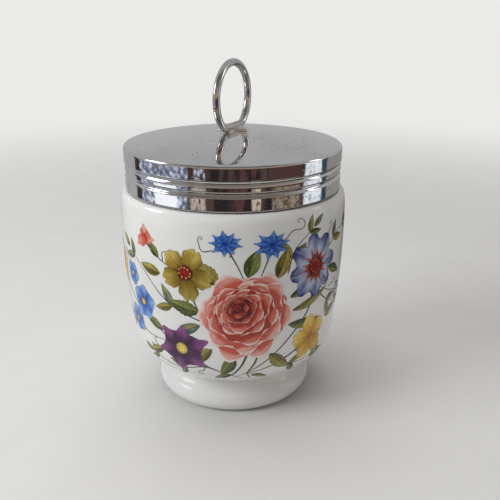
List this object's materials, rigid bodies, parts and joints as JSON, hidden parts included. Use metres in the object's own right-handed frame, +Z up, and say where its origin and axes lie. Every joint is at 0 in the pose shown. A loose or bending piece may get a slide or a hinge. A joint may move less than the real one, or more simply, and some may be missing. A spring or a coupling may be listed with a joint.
{
  "type": "egg coddler",
  "caption": "Footed porcelain egg cup with a threaded neck and a domed screw-on metal lid that carries an upright wire lifting ring.",
  "frame": {"origin": "middle of the foot ring's resting face, on the table", "axes": "+Z up along the cup's axis and the lid's thread; -Y towards the viewer of the picture"},
  "size_m": [0.0628, 0.0628, 0.095],
  "materials": {
    "porcelain": "clear gloss glaze over printed flowers",
    "chrome": "bright plate with fine handling scratches",
    "tinned_steel": "dull tinned sheet",
    "rubber": "matte",
    "braze": "plated braze, slightly rough"
  },
  "bodies": {
    "cup": {"porcelain_cup": "porcelain"},
    "seal": {"sealing_washer": "rubber"},
    "lid": {"lid_cap": "chrome", "threaded_liner": "tinned_steel", "lifting_ring": "chrome", "ring_braze": "braze"}
  },
  "joints": [
    {"name": "lid_rise", "type": "slide", "parent": "cup", "child": "seal", "axis": [0, 0, 1], "range_m": [0, 0.0125]},
    {"name": "lid_turn", "type": "hinge", "parent": "seal", "child": "lid", "pos_m": [0, 0, 0.0706], "axis": [0, 0, 1], "range_deg": [0, 900]}
  ],
  "couplings": [
    {"joint": "lid_rise", "follows": "lid_turn", "m_per_rad": 0.00079577}
  ]
}
